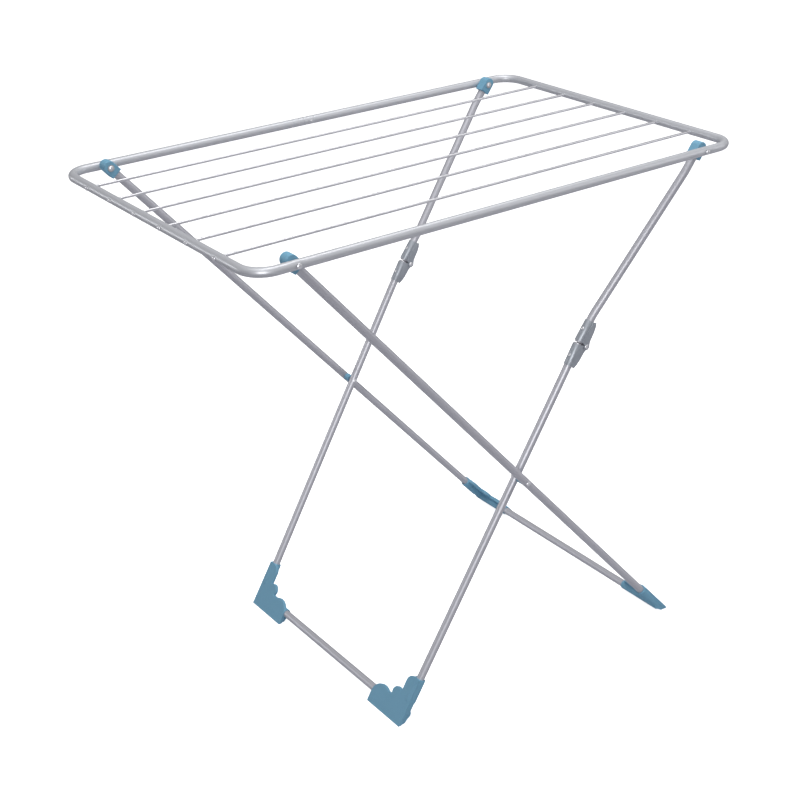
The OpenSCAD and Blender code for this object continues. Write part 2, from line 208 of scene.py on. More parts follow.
def new_surface(name, **constants):
    """Empty material with a Principled shader, whose sockets named in constants are set."""
    material = bpy.data.materials.new(name)
    material.use_nodes = True
    graph = Graph(material.node_tree)
    shader = material.node_tree.nodes["Principled BSDF"]
    for socket, value in constants.items():
        shader.inputs[socket.replace("_", " ")].default_value = value
    return material, graph, shader


def feed(graph, shader, **values):
    """Links values to a shader's sockets."""
    for socket, value in values.items():
        graph.tree.links.new(value.socket, shader.inputs[socket.replace("_", " ")])


def bump(graph, height, strength, distance):
    """Normal bent by a height from 0 to 1."""
    sockets = {"Height": height, "Strength": strength, "Distance": distance}
    return graph.add("ShaderNodeBump", {}, sockets).out()


def drawn_tube_finish(name, tint, roughness, streak, mottle):
    """Plated tube: faint draw lines along it, cloudy patches and a few fine scratches."""
    material, graph, shader = new_surface(name, Metallic=1.0)
    place = graph.add("ShaderNodeUVMap", {"uv_map": "UVMap"}).out()
    clouds = graph.noise(graph.scaled(place, (1, 1, 1)), 14, 3)
    lines = graph.noise(graph.scaled(place, (3, 1400, 1)), 1, 4, 0.6)
    bands = graph.noise(graph.scaled(place, (1.5, 260, 1)), 1, 2)
    specks = graph.noise(graph.scaled(place, (900, 900, 1)), 1, 1)
    wear = (bands - 0.5) * streak + (clouds - 0.5) * mottle
    dark = tuple(channel * 0.62 for channel in tint)
    light = tuple(min(channel * 1.18, 1) for channel in tint)
    colour = graph.mix((wear + 0.5).step(0, 1), (*dark, 1), (*light, 1))
    gloss = (lines - 0.5) * (0.5 * streak) + (clouds - 0.5) * 0.12 + roughness
    height = lines * 0.7 + specks * 0.3
    feed(graph, shader, Base_Color=colour, Roughness=gloss, Normal=bump(graph, height, 0.25, 0.00008))
    return material


def wire_finish(name, tint, roughness):
    """Bright drawn wire: fine lines along X and faint grey patches."""
    material, graph, shader = new_surface(name, Metallic=1.0)
    place = graph.add("ShaderNodeTexCoord").out("Object")
    lines = graph.noise(graph.scaled(place, (8, 1800, 1800)), 1, 2)
    patches = graph.noise(graph.scaled(place, (9, 60, 60)), 1, 3)
    dark = tuple(channel * 0.72 for channel in tint)
    colour = graph.mix(patches.step(0.3, 0.7), (*dark, 1), (*tint, 1))
    gloss = (lines - 0.5) * 0.2 + roughness
    feed(graph, shader, Base_Color=colour, Roughness=gloss, Normal=bump(graph, lines, 0.3, 0.00006))
    return material


def sheet_finish(name, tint, roughness):
    """Zinc-plated sheet metal: small crystal patches and dull stains."""
    material, graph, shader = new_surface(name, Metallic=0.9)
    place = graph.add("ShaderNodeTexCoord").out("Object")
    crystals = graph.add("ShaderNodeTexVoronoi", {}, {"Vector": place, "Scale": 420.0}).out("Color")
    spangle = graph.add("ShaderNodeSeparateColor", {}, {"Color": crystals}).out("Red")
    stains = graph.noise(place, 45, 4)
    grain = graph.noise(place, 1500, 2)
    tone = spangle * 0.35 + stains * 0.65
    dark = tuple(channel * 0.55 for channel in tint)
    light = tuple(min(channel * 1.35, 1) for channel in tint)
    colour = graph.mix(tone.step(0.25, 0.75), (*dark, 1), (*light, 1))
    gloss = (stains - 0.5) * 0.25 + roughness
    feed(graph, shader, Base_Color=colour, Roughness=gloss, Normal=bump(graph, grain, 0.25, 0.0001))
    return material


def rivet_finish(name, tint, roughness):
    """Bright steel rivet: small dings and a satin patch where the tool pressed it."""
    material, graph, shader = new_surface(name, Metallic=1.0)
    place = graph.add("ShaderNodeTexCoord").out("Object")
    dings = graph.noise(place, 900, 3)
    dull = graph.noise(place, 240, 2)
    dark = tuple(channel * 0.7 for channel in tint)
    colour = graph.mix(dull.step(0.35, 0.7), (*tint, 1), (*dark, 1))
    gloss = dull * 0.18 + roughness
    feed(graph, shader, Base_Color=colour, Roughness=gloss, Normal=bump(graph, dings, 0.3, 0.00012))
    return material


def moulding_finish(name, tint, roughness):
    """Moulded plastic: fine spark-eroded grain, slow colour drift, paler rubbed edges and painted shade that
    darkens its concave creases.
    """
    material, graph, shader = new_surface(name, Metallic=0.0, Specular_IOR_Level=0.45)
    place = graph.add("ShaderNodeTexCoord").out("Object")
    edges = graph.add("ShaderNodeNewGeometry").out("Pointiness")
    drift = graph.noise(place, 22, 3)
    grain = graph.noise(place, 2600, 2)
    swirl = graph.noise(place, 110, 4)
    deep = tuple(channel * 0.78 for channel in tint)
    pale = tuple(channel * 0.8 + 0.2 for channel in tint)
    body = graph.mix(drift.step(0.3, 0.7), (*deep, 1), (*tint, 1))
    rubbed = edges.step(0.53, 0.6) * swirl.step(0.35, 0.65) * 0.5
    # painted shade: the concave creases, where pointiness is low, are darkened towards 45% of the tint
    painted_crease_shade = edges.step(0.47, 0.40) * 0.6
    worn = graph.mix(rubbed, body, (*pale, 1))
    colour = graph.mix(painted_crease_shade, worn, (*tuple(channel * 0.45 for channel in tint), 1))
    gloss = (swirl - 0.5) * 0.16 + roughness
    feed(graph, shader, Base_Color=colour, Roughness=gloss, Normal=bump(graph, grain, 0.35, 0.00012))
    return material


def nylon_finish(name, tint, roughness):
    """Natural nylon: waxy, faintly mottled."""
    material, graph, shader = new_surface(name, Metallic=0.0)
    place = graph.add("ShaderNodeTexCoord").out("Object")
    mottle = graph.noise(place, 160, 3)
    dark = tuple(channel * 0.8 for channel in tint)
    colour = graph.mix(mottle.step(0.3, 0.7), (*dark, 1), (*tint, 1))
    gloss = (mottle - 0.5) * 0.2 + roughness
    feed(graph, shader, Base_Color=colour, Roughness=gloss, Normal=bump(graph, mottle, 0.2, 0.0001))
    return material


def finish_named(name):
    """The rack's material of that name, made when it is first asked for."""
    if name in bpy.data.materials:
        return bpy.data.materials[name]
    look = bpy.context.scene.rack_finishes
    makers = {
        "frame_metal": lambda: drawn_tube_finish(
            name, tuple(look.frame_tint), look.frame_roughness, look.frame_streak, look.frame_mottle),
        "leg_metal": lambda: drawn_tube_finish(
            name, tuple(look.leg_tint), look.leg_roughness, look.leg_streak, look.leg_mottle),
        "rail_metal": lambda: wire_finish(name, tuple(look.rail_tint), look.rail_roughness),
        "bracket_metal": lambda: sheet_finish(name, tuple(look.bracket_tint), look.bracket_roughness),
        "rivet_metal": lambda: rivet_finish(name, tuple(look.rivet_tint), look.rivet_roughness),
        "blue_plastic": lambda: moulding_finish(name, tuple(look.plastic_tint), look.plastic_roughness),
        "nylon": lambda: nylon_finish(name, tuple(look.nylon_tint), look.nylon_roughness),
    }
    return makers[name]()


# ---------- mesh helpers ----------

def new_piece(name, mesh, finish, body, replaced=()):
    """Object for a finished mesh, in its material, on its body, standing for CAD nodes."""
    piece = bpy.data.objects.new(name, mesh)
    bpy.context.scene.collection.objects.link(piece)
    mesh.materials.clear()
    mesh.materials.append(finish_named(finish))
    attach(piece, body)
    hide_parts(*replaced)
    return piece


def rounded_path(corners, radius, steps=12):
    """Points of a line through the corners, each inner corner rounded by an arc."""
    points = [corners[0]]
    for before, corner, after in zip(corners, corners[1:], corners[2:]):
        back = (before - corner).normalized()
        ahead = (after - corner).normalized()
        turn = math.pi - back.angle(ahead)
        reach = radius * math.tan(turn / 2)
        centre = corner + (back + ahead).normalized() * (radius / math.cos(turn / 2))
        spoke = corner + back * reach - centre
        axis = spoke.cross(corner + ahead * reach - centre).normalized()
        points += [centre + Matrix.Rotation(turn * k / steps, 3, axis) @ spoke for k in range(steps + 1)]
    return points + [corners[-1]]


class Route:
    """A tube's centre line, measured by the distance from its start."""

    def __init__(self, points):
        self.points = np.array([tuple(point) for point in points])
        lengths = np.linalg.norm(np.diff(self.points, axis=0), axis=1)
        self.marks = np.concatenate([[0], np.cumsum(lengths)])
        self.length = self.marks[-1]

    def at(self, distances):
        return np.stack([np.interp(distances, self.marks, self.points[:, k]) for k in range(3)], axis=1)

    def nearest(self, place):
        """Distance along the line at which it passes closest to a place."""
        tries = np.linspace(0, self.length, 20000)
        return tries[np.argmin(np.linalg.norm(self.at(tries) - np.array(tuple(place)), axis=1))]

    def stations(self, spacing, close=()):
        """Distances for rings: evenly spaced, at every bend point, and closer round the given stretches."""
        marks = [np.linspace(0, self.length, int(self.length / spacing) + 2), self.marks]
        for centre, half, gap in close:
            marks.append(np.clip(np.arange(centre - half, centre + half, gap), 0, self.length))
        joined = np.unique(np.round(np.concatenate(marks), 6))
        return joined[np.concatenate([[True], np.diff(joined) > 0.0002])]


def swept_tube(name, route, stations, radius, wall, reference, around=40, push=None):
    """Hollow tube along a route. push gives the outside's radial shift at each distance and angle.

    Angles start on the outer side, reference x direction of travel, and turn towards the reference.
    """
    centres = route.at(stations)
    ahead, behind = np.minimum(stations + 0.0004, route.length), np.maximum(stations - 0.0004, 0)
    tangents = route.at(ahead) - route.at(behind)
    tangents /= np.linalg.norm(tangents, axis=1)[:, None]
    towards = np.array(tuple(reference)) - tangents * (tangents @ np.array(tuple(reference)))[:, None]
    towards /= np.linalg.norm(towards, axis=1)[:, None]
    outwards = np.cross(tangents, towards)
    angles = np.arange(around) * (2 * math.pi / around)
    shift = np.zeros((len(stations), around)) if push is None else push(stations[:, None], angles[None, :])
    rims = []
    for size, pushed in ((radius, shift), (radius - wall, shift)):
        reach = (size + pushed)[:, :, None]
        rim = centres[:, None, :] + reach * (np.cos(angles)[None, :, None] * outwards[:, None, :]
                                             + np.sin(angles)[None, :, None] * towards[:, None, :])
        rims.append(rim)
    loops = np.concatenate([rims[0], rims[1][::-1]])
    count = len(loops)
    faces, corners_uv = [], []
    along = np.concatenate([stations, stations[::-1]])
    girth = radius * (2 * math.pi / around)
    for row in range(count):
        below = (row + 1) % count
        for column in range(around):
            beside = (column + 1) % around
            faces.append((row * around + column, row * around + beside,
                          below * around + beside, below * around + column))
            corners_uv += [(along[row], column * girth), (along[row], (column + 1) * girth),
                           (along[below], (column + 1) * girth), (along[below], column * girth)]
    mesh = bpy.data.meshes.new(name)
    mesh.from_pydata(loops.reshape(-1, 3).tolist(), [], faces)
    layer = mesh.uv_layers.new(name="UVMap")
    layer.data.foreach_set("uv", np.array(corners_uv, np.float32).ravel())
    face_outwards(mesh)
    mesh.shade_smooth()
    mark_sharp(mesh, 50)
    return mesh


def face_outwards(mesh):
    """Turns a closed mesh's faces outwards."""
    work = bmesh.new()
    work.from_mesh(mesh)
    bmesh.ops.recalc_face_normals(work, faces=work.faces)
    work.to_mesh(mesh)
    work.free()


def mark_sharp(mesh, degrees):
    """Keeps edges sharper than an angle crisp in a smooth mesh."""
    work = bmesh.new()
    work.from_mesh(mesh)
    limit = math.radians(degrees)
    for edge in work.edges:
        edge.smooth = len(edge.link_faces) != 2 or edge.calc_face_angle() < limit
    work.to_mesh(mesh)
    work.free()


def merged_copy(node, name):
    """Copy of a node's mesh with its loose triangles joined."""
    mesh = frame["nodes"][node].data.copy()
    mesh.name = name
    work = bmesh.new()
    work.from_mesh(mesh)
    bmesh.ops.remove_doubles(work, verts=work.verts, dist=0.000002)
    work.to_mesh(mesh)
    work.free()
    for layer in list(mesh.uv_layers):
        mesh.uv_layers.remove(layer)
    if mesh.has_custom_normals:
        mesh.attributes.remove(mesh.attributes["custom_normal"])
    return mesh


def with_modifiers(mesh, *modifiers):
    """Mesh after a chain of modifiers, each a type and its settings."""
    holder = bpy.data.objects.new("holder", mesh)
    bpy.context.scene.collection.objects.link(holder)
    for kind, settings in modifiers:
        modifier = holder.modifiers.new(kind.title(), kind)
        for name, value in settings.items():
            setattr(modifier, name, value)
    graph = bpy.context.evaluated_depsgraph_get()
    result = bpy.data.meshes.new_from_object(holder.evaluated_get(graph))
    bpy.data.objects.remove(holder)
    return result


# ---------- what a user may change ----------

class RackSizes(bpy.types.PropertyGroup):
    corner_radius: bpy.props.FloatProperty(
        name="Corner radius", description="Centre-line radius of the frame tube's corners",
        default=0.040, min=0.03, max=0.07, unit="LENGTH")
    leg_bend_radius: bpy.props.FloatProperty(
        name="Leg bend radius", description="Centre-line radius of the slight bends in the inner legs",
        default=0.16, min=0.05, max=0.3, unit="LENGTH")
    knee_straight: bpy.props.FloatProperty(
        name="Straight at the knee", description="Length of an inner leg between its knee end and its bend",
        default=0.0572, unit="LENGTH")
    cap_straight: bpy.props.FloatProperty(
        name="Straight at the cap", description="Length of an upper leg between its bend and its top end",
        default=0.051, unit="LENGTH")
    tube_wall: bpy.props.FloatProperty(
        name="Tube wall", description="Wall thickness of all tubes", default=0.001, unit="LENGTH")
    rivet_dent: bpy.props.FloatProperty(
        name="Rivet dent", description="How deep the pivot rivets have pressed the frame tube",
        default=0.0014, max=0.002, unit="LENGTH")
    rail_dent: bpy.props.FloatProperty(
        name="Rail dent", description="How deep the rails' peened ends have pressed the frame tube",
        default=0.0009, max=0.0015, unit="LENGTH")
    seam_groove: bpy.props.FloatProperty(
        name="Seam groove", description="Depth of the crimped grooves beside the frame tube's seam",
        default=0.0005, max=0.001, unit="LENGTH")
    seam_gap: bpy.props.FloatProperty(
        name="Seam gap", description="Gap between the frame tube's two ends", default=0.0004, unit="LENGTH")
    rivet_dent_width: bpy.props.FloatProperty(
        name="Rivet dent width", description="How far a pivot rivet's dent runs along the tube",
        default=0.011, unit="LENGTH")
    rail_dent_width: bpy.props.FloatProperty(
        name="Rail dent width", description="How far a rail's dent runs along the tube",
        default=0.0055, unit="LENGTH")
    groove_width: bpy.props.FloatProperty(
        name="Groove width", description="Width of a crimped groove", default=0.0016, unit="LENGTH")
    wire_radius: bpy.props.FloatProperty(
        name="Wire radius", description="Radius of the rails and of the rivets' shanks",
        default=0.0025, unit="LENGTH")
    rail_head_height: bpy.props.FloatProperty(
        name="Rail head height", description="Height of a rail's peened end", default=0.0026, unit="LENGTH")
    rail_head_spread: bpy.props.FloatProperty(
        name="Rail head spread", description="Peened end's size against the frame's", default=1.12)
    rail_extra: bpy.props.FloatProperty(
        name="Rail extra", description="How much longer the rails are than in the frame, both ends together",
        default=0.0012, unit="LENGTH")
    rivet_head_height: bpy.props.FloatProperty(
        name="Rivet head height", description="Height of a rivet's domed head", default=0.0022, unit="LENGTH")
    sheet_edge: bpy.props.FloatProperty(
        name="Sheet edge", description="Width of the broken edges of the knee brackets",
        default=0.0002, unit="LENGTH")
    moulding_grid: bpy.props.FloatProperty(
        name="Moulding grid", description="Fineness to which the blue mouldings' edges are rounded",
        default=0.0007, min=0.0005, unit="LENGTH")


class RackFinishes(bpy.types.PropertyGroup):
    frame_streak: bpy.props.FloatProperty(
        name="Frame streaks", description="Strength of the draw lines on the frame tube", default=0.45)
    frame_mottle: bpy.props.FloatProperty(
        name="Frame clouds", description="Strength of the cloudy patches on the frame tube", default=0.5)
    leg_streak: bpy.props.FloatProperty(
        name="Leg streaks", description="Strength of the draw lines on the legs", default=0.9)
    leg_mottle: bpy.props.FloatProperty(
        name="Leg clouds", description="Strength of the cloudy patches on the legs", default=0.7)
    frame_tint: bpy.props.FloatVectorProperty(
        name="Frame", description="Colour of the frame tube's plating", subtype="COLOR",
        default=(0.66, 0.66, 0.73), min=0, max=1)
    frame_roughness: bpy.props.FloatProperty(
        name="Frame roughness", description="Gloss of the frame tube, lower is shinier", default=0.13)
    leg_tint: bpy.props.FloatVectorProperty(
        name="Legs", description="Colour of the legs' plating", subtype="COLOR",
        default=(0.55, 0.55, 0.61), min=0, max=1)
    leg_roughness: bpy.props.FloatProperty(
        name="Leg roughness", description="Gloss of the legs, lower is shinier", default=0.17)
    rail_tint: bpy.props.FloatVectorProperty(
        name="Rails", description="Colour of the rails' wire", subtype="COLOR",
        default=(0.76, 0.76, 0.80), min=0, max=1)
    rail_roughness: bpy.props.FloatProperty(
        name="Rail roughness", description="Gloss of the rails, lower is shinier", default=0.12)
    bracket_tint: bpy.props.FloatVectorProperty(
        name="Brackets", description="Colour of the knee brackets' sheet metal", subtype="COLOR",
        default=(0.22, 0.245, 0.285), min=0, max=1)
    bracket_roughness: bpy.props.FloatProperty(
        name="Bracket roughness", description="Gloss of the brackets, lower is shinier", default=0.42)
    rivet_tint: bpy.props.FloatVectorProperty(
        name="Rivets", description="Colour of the rivets and pins", subtype="COLOR",
        default=(0.84, 0.84, 0.87), min=0, max=1)
    rivet_roughness: bpy.props.FloatProperty(
        name="Rivet roughness", description="Gloss of the rivets, lower is shinier", default=0.12)
    plastic_tint: bpy.props.FloatVectorProperty(
        name="Blue plastic", description="Colour of the caps, feet and spacers", subtype="COLOR",
        default=(0.030, 0.190, 0.330), min=0, max=1)
    plastic_roughness: bpy.props.FloatProperty(
        name="Plastic roughness", description="Gloss of the mouldings, lower is shinier", default=0.42)
    nylon_tint: bpy.props.FloatVectorProperty(
        name="Nylon", description="Colour of the washers and bushes", subtype="COLOR",
        default=(0.70, 0.69, 0.64), min=0, max=1)
    nylon_roughness: bpy.props.FloatProperty(
        name="Nylon roughness", description="Gloss of the washers and bushes", default=0.5)


class RackStudio(bpy.types.PropertyGroup):
    camera_place: bpy.props.FloatVectorProperty(
        name="Camera place", description="Where the camera stands", subtype="TRANSLATION", unit="LENGTH",
        default=(-1.4944, -2.03345, 1.7688))
    camera_heading: bpy.props.FloatProperty(
        name="Camera heading", description="Turn of the view from +Y towards +X", subtype="ANGLE",
        default=math.radians(35.91))
    camera_dip: bpy.props.FloatProperty(
        name="Camera dip", description="How far the camera looks down", subtype="ANGLE",
        default=math.radians(26.60))
    camera_roll: bpy.props.FloatProperty(
        name="Camera roll", description="Tilt of the picture", subtype="ANGLE", default=math.radians(-1.37))
    lens: bpy.props.FloatProperty(
        name="Lens", description="Focal length in millimetres on a 36 mm wide sensor", default=66.62)
    key_power: bpy.props.FloatProperty(
        name="Key light", description="Power of the overhead softbox in watts", default=50)
    front_power: bpy.props.FloatProperty(
        name="Front light", description="Power of the narrow softbox beside the camera in watts", default=60)
    side_power: bpy.props.FloatProperty(
        name="Side lights", description="Power of each side softbox in watts", default=18)
    room_level: bpy.props.FloatProperty(
        name="Room level", description="Brightness of the room in reflections", default=0.38)


# ---------- drying frame ----------

class RACK_OT_frame_tube(bpy.types.Operator):
    """Build the bent frame tube with its seam and the dents of its rivets"""
    bl_idname = "rack.frame_tube"
    bl_label = "Frame tube"

    def execute(self, context):
        sizes = context.scene.rack_sizes
        low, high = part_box("top_frame_tube")
        radius = (high.z - low.z) / 2
        level = (high.z + low.z) / 2
        half_x, half_y = high.x - radius, high.y - radius
        seam = middle("seam_sleeve").x
        corners = [Vector((seam - sizes.seam_gap / 2, half_y, level))]
        turns = ((-1, 1), (-1, -1), (1, -1), (1, 1))
        corners += [Vector((x * half_x, y * half_y, level)) for x, y in turns]
        corners += [Vector((seam + sizes.seam_gap / 2, half_y, level))]
        route = Route(rounded_path(corners, sizes.corner_radius, 24))
        rivets = [route.nearest(middle(node)) for node in PIVOT_RIVETS]
        rails = [node for node in frame["nodes"] if node.startswith("rail_")]
        peens = [route.nearest(Vector((end * half_x, middle(node).y, level)))
                 for node in rails for end in (-1, 1)]
        painted_crease_shade = [place for gap in SEAM_GROOVES for place in (gap, route.length - gap)]
        close = [(place, 0.030, 0.0016) for place in rivets] + [(place, 0.008, 0.001) for place in peens]
        close += [(place, 0.006, 0.0006) for place in painted_crease_shade]

        def push(distance, angle):
            facing = np.clip(np.cos(angle), 0, 1)
            pressed = np.zeros(np.broadcast(distance, angle).shape)
            for place in rivets:
                spread = np.exp(-((distance - place) / sizes.rivet_dent_width) ** 2)
                pressed -= sizes.rivet_dent * spread * facing ** 2
            for place in peens:
                spread = np.exp(-((distance - place) / sizes.rail_dent_width) ** 2)
                pressed -= sizes.rail_dent * spread * facing ** 5
            for place in painted_crease_shade:
                pressed -= sizes.seam_groove * np.exp(-((distance - place) / sizes.groove_width) ** 2)
            return pressed

        rings = route.stations(0.008, close)
        mesh = swept_tube("frame_tube", route, rings, radius, sizes.tube_wall, UP, 48, push)
        new_piece("frame_tube", mesh, "frame_metal", "drying_frame", ["top_frame_tube"])
        return {"FINISHED"}


def headed_rod_tree():
    """Geometry nodes: a rod with a domed head at each end, on each point that comes in."""
    tree = bpy.data.node_groups.new("headed_rod", "GeometryNodeTree")
    tree.is_modifier = True
    tree.interface.new_socket("Geometry", in_out="INPUT", socket_type="NodeSocketGeometry")
    for name in ("Length", "Rod Radius", "Head Radius", "Head Height"):
        tree.interface.new_socket(name, in_out="INPUT", socket_type="NodeSocketFloat")
    tree.interface.new_socket("Turn", in_out="INPUT", socket_type="NodeSocketRotation")
    tree.interface.new_socket("Steps", in_out="INPUT", socket_type="NodeSocketInt")
    tree.interface.new_socket("Around", in_out="INPUT", socket_type="NodeSocketInt")
    tree.interface.new_socket("Material", in_out="INPUT", socket_type="NodeSocketMaterial")
    tree.interface.new_socket("Geometry", in_out="OUTPUT", socket_type="NodeSocketGeometry")
    graph = Graph(tree)
    given = graph.add("NodeGroupInput")
    measures = ("Length", "Rod Radius", "Head Radius", "Head Height")
    length, rod, head, height = (given.out(name) for name in measures)

    line = graph.add("GeometryNodeCurvePrimitiveLine", {}, {"Start": (-1, 0, 0), "End": (1, 0, 0)}).out()
    line = graph.add("GeometryNodeResampleCurve", {}, {"Curve": line, "Count": given.out("Steps")}).out()
    share = graph.add("ShaderNodeSeparateXYZ", {}, {0: graph.add("GeometryNodeInputPosition").out()}).out("X")
    crowding = 2.2
    inward = (1 - share.math("ABSOLUTE")) ** crowding * length / 2
    spot = share.math("SIGN") * (length / 2 - inward)
    spot = graph.add("ShaderNodeCombineXYZ", {}, {"X": spot}).out()
    line = graph.add("GeometryNodeSetPosition", {}, {"Geometry": line, "Position": spot}).out()

    place = graph.add("ShaderNodeSeparateXYZ", {}, {0: graph.add("GeometryNodeInputPosition").out()}).out("X")
    depth = (length / 2 - place.math("ABSOLUTE")) / height
    dome = head * (1 - (1 - depth.math("MINIMUM", 1.0)) ** 2).math("MAXIMUM", 0.02).math("SQRT")
    in_head = depth.math("LESS_THAN", 1.0)
    size = in_head * dome + (1 - in_head) * rod
    sockets = {"Resolution": given.out("Around"), "Radius": 1.0}
    ring = graph.add("GeometryNodeCurvePrimitiveCircle", {}, sockets).out()
    sockets = {"Curve": line, "Profile Curve": ring, "Scale": size, "Fill Caps": True}
    rod_mesh = graph.add("GeometryNodeCurveToMesh", {}, sockets).out()
    sockets = {"Points": given.out("Geometry"), "Instance": rod_mesh, "Rotation": given.out("Turn")}
    rods = graph.add("GeometryNodeInstanceOnPoints", {}, sockets).out()
    rods = graph.add("GeometryNodeRealizeInstances", {}, {"Geometry": rods}).out()
    sockets = {"Geometry": rods, "Material": given.out("Material")}
    rods = graph.add("GeometryNodeSetMaterial", {}, sockets).out()
    graph.add("NodeGroupOutput", {}, {"Geometry": rods})
    return tree


def headed_rods(name, places, finish, turn, steps, around, **sizes):
    """Mesh of headed rods at the places, from the headed rod tree."""
    tree = bpy.data.node_groups.get("headed_rod") or headed_rod_tree()
    mesh = bpy.data.meshes.new(name)
    mesh.from_pydata([tuple(place) for place in places], [], [])
    holder = bpy.data.objects.new("holder", mesh)
    bpy.context.scene.collection.objects.link(holder)
    modifier = holder.modifiers.new("headed_rod", "NODES")
    modifier.node_group = tree
    identifiers = {item.name: item.identifier for item in tree.interface.items_tree if item.in_out == "INPUT"}
    values = {"Turn": turn, "Steps": steps, "Around": around, "Material": finish_named(finish)}
    values.update({socket.replace("_", " ").title(): value for socket, value in sizes.items()})
    for socket, value in values.items():
        modifier[identifiers[socket]] = value
    holder.update_tag()
    graph = bpy.context.evaluated_depsgraph_get()
    result = bpy.data.meshes.new_from_object(holder.evaluated_get(graph))
    bpy.data.objects.remove(holder)
    result.name = name
    face_outwards(result)
    result.shade_smooth()
    mark_sharp(result, 50)
    return result


class RACK_OT_rails(bpy.types.Operator):
    """Draw the rails with their peened ends"""
    bl_idname = "rack.rails"
    bl_label = "Rails"

    def execute(self, context):
        rails = sorted(node for node in frame["nodes"] if node.startswith("rail_"))
        low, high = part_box(rails[0])
        sizes = context.scene.rack_sizes
        mesh = headed_rods(
            "rails", [middle(node) for node in rails], "rail_metal", (0, 0, 0), 121, 24,
            length=high.x - low.x + sizes.rail_extra, rod_radius=sizes.wire_radius,
            head_radius=(high.z - low.z) / 2 * sizes.rail_head_spread, head_height=sizes.rail_head_height)
        new_piece("rails", mesh, "rail_metal", "drying_frame", rails)
        return {"FINISHED"}


# ---------- rivets and pins ----------

class RACK_OT_rivets(bpy.types.Operator):
    """Set the pivot rivets and knee pins with domed heads"""
    bl_idname = "rack.rivets"
    bl_label = "Rivets and pins"

    def execute(self, context):
        groups = (
            ("pivot_rivets", "drying_frame", PIVOT_RIVETS),
            ("knee_pins", "inner_upper_legs", [f"knee_pin_{side}" for side in SIDES]),
        )
        for name, body, nodes in groups:
            size, sizes = extent(nodes[0]), context.scene.rack_sizes
            mesh = headed_rods(
                name, [middle(node) for node in nodes], "rivet_metal", (0, 0, math.pi / 2), 61, 32,
                length=size.y, rod_radius=sizes.wire_radius, head_radius=size.x / 2,
                head_height=sizes.rivet_head_height)
            new_piece(name, mesh, "rivet_metal", body, nodes)
        return {"FINISHED"}


# ---------- legs and crossbars ----------

class RACK_OT_legs(bpy.types.Operator):
    """Bend the legs' tubes and cut the crossbars"""
    bl_idname = "rack.legs"
    bl_label = "Legs and crossbars"

    def execute(self, context):
        sizes = context.scene.rack_sizes
        radius = extent("outer_crossbar").z / 2
        outer_lean = Vector((-0.656, 0, 0.755))
        inner_lean = Vector((0.56, 0, 0.83))
        for side in SIDES:
            foot, top = tube_ends(f"outer_leg_{side}", outer_lean)
            self.leg(f"outer_leg_{side}", [foot, top], radius, "outer_legs")
            foot, knee = tube_ends(f"inner_lower_leg_{side}", inner_lean, (False, True))
            bend = knee - flat_direction(foot, knee) * sizes.knee_straight
            self.leg(f"inner_lower_leg_{side}", [foot, bend, knee], radius, "inner_lower_legs")
            knee, top = tube_ends(f"inner_upper_leg_{side}", inner_lean, (True, True))
            up = flat_direction(knee, top)
            corners = [knee, knee + up * sizes.knee_straight, top - up * sizes.cap_straight, top]
            self.leg(f"inner_upper_leg_{side}", corners, radius, "inner_upper_legs")
        for stand in ("outer", "inner"):
            node = f"{stand}_crossbar"
            half = extent(node).y / 2 * ACROSS
            body = "outer_legs" if stand == "outer" else "inner_lower_legs"
            self.leg(node, [middle(node) - half, middle(node) + half], radius, body, UP)
        return {"FINISHED"}

    def leg(self, node, corners, radius, body, reference=ACROSS):
        sizes = bpy.context.scene.rack_sizes
        route = Route(rounded_path(corners, sizes.leg_bend_radius))
        name = f"{node}_tube"
        mesh = swept_tube(name, route, route.stations(0.02), radius, sizes.tube_wall, reference)
        new_piece(name, mesh, "leg_metal", body, [node])


# ---------- mouldings ----------

class RACK_OT_mouldings(bpy.types.Operator):
    """Round the edges of the blue caps, feet and spacers"""
    bl_idname = "rack.mouldings"
    bl_label = "Caps, feet and spacers"

    def execute(self, context):
        grid = context.scene.rack_sizes.moulding_grid
        for body, kinds in (("outer_legs", ("outer_foot", "outer_cap", "crossing_spacer")),
                            ("inner_upper_legs", ("inner_cap",)), ("inner_lower_legs", ("inner_foot",))):
            for kind in kinds:
                for side in SIDES:
                    node = f"{kind}_{side}"
                    voxel = {"mode": "VOXEL", "voxel_size": grid, "use_smooth_shade": True}
                    soften = {"factor": 0.5, "iterations": 4}
                    mesh = with_modifiers(merged_copy(node, node), ("REMESH", voxel), ("SMOOTH", soften))
                    new_piece(f"{node}_moulding", mesh, "blue_plastic", body, [node])
        return {"FINISHED"}


# ---------- knee brackets ----------

class RACK_OT_knees(bpy.types.Operator):
    """Break the sharp edges of the knee brackets' sheet metal"""
    bl_idname = "rack.knees"
    bl_label = "Knee brackets"

    def execute(self, context):
        for part, body in (("upper", "inner_upper_legs"), ("lower", "inner_lower_legs")):
            for side in SIDES:
                node = f"knee_{part}_bracket_{side}"
                mesh = merged_copy(node, node)
                flat = {"decimate_type": "DISSOLVE", "angle_limit": math.radians(1)}
                edge = {"width": context.scene.rack_sizes.sheet_edge, "segments": 2, "limit_method": "ANGLE",
                        "angle_limit": math.radians(40)}
                mesh = with_modifiers(mesh, ("DECIMATE", flat), ("BEVEL", edge))
                mesh.shade_smooth()
                mark_sharp(mesh, 35)
                new_piece(f"{node}_sheet", mesh, "bracket_metal", body, [node])
        return {"FINISHED"}


# ---------- carried-over nodes ----------

class RACK_OT_small_parts(bpy.types.Operator):
    """Finish the small parts that keep their frame shapes"""
    bl_idname = "rack.small_parts"
    bl_label = "Washers, tacks, bushes and sleeve"

    def execute(self, context):
        for record in frame["record"]["materials"]:
            finish_named(record["slot"])
        for name, node in frame["nodes"].items():
            finish = "nylon" if "washer" in name or "bush" in name else "rivet_metal"
            if not node.hide_render:
                node.data.materials.clear()
                node.data.materials.append(finish_named(finish))
        return {"FINISHED"}


# ---------- stage ----------

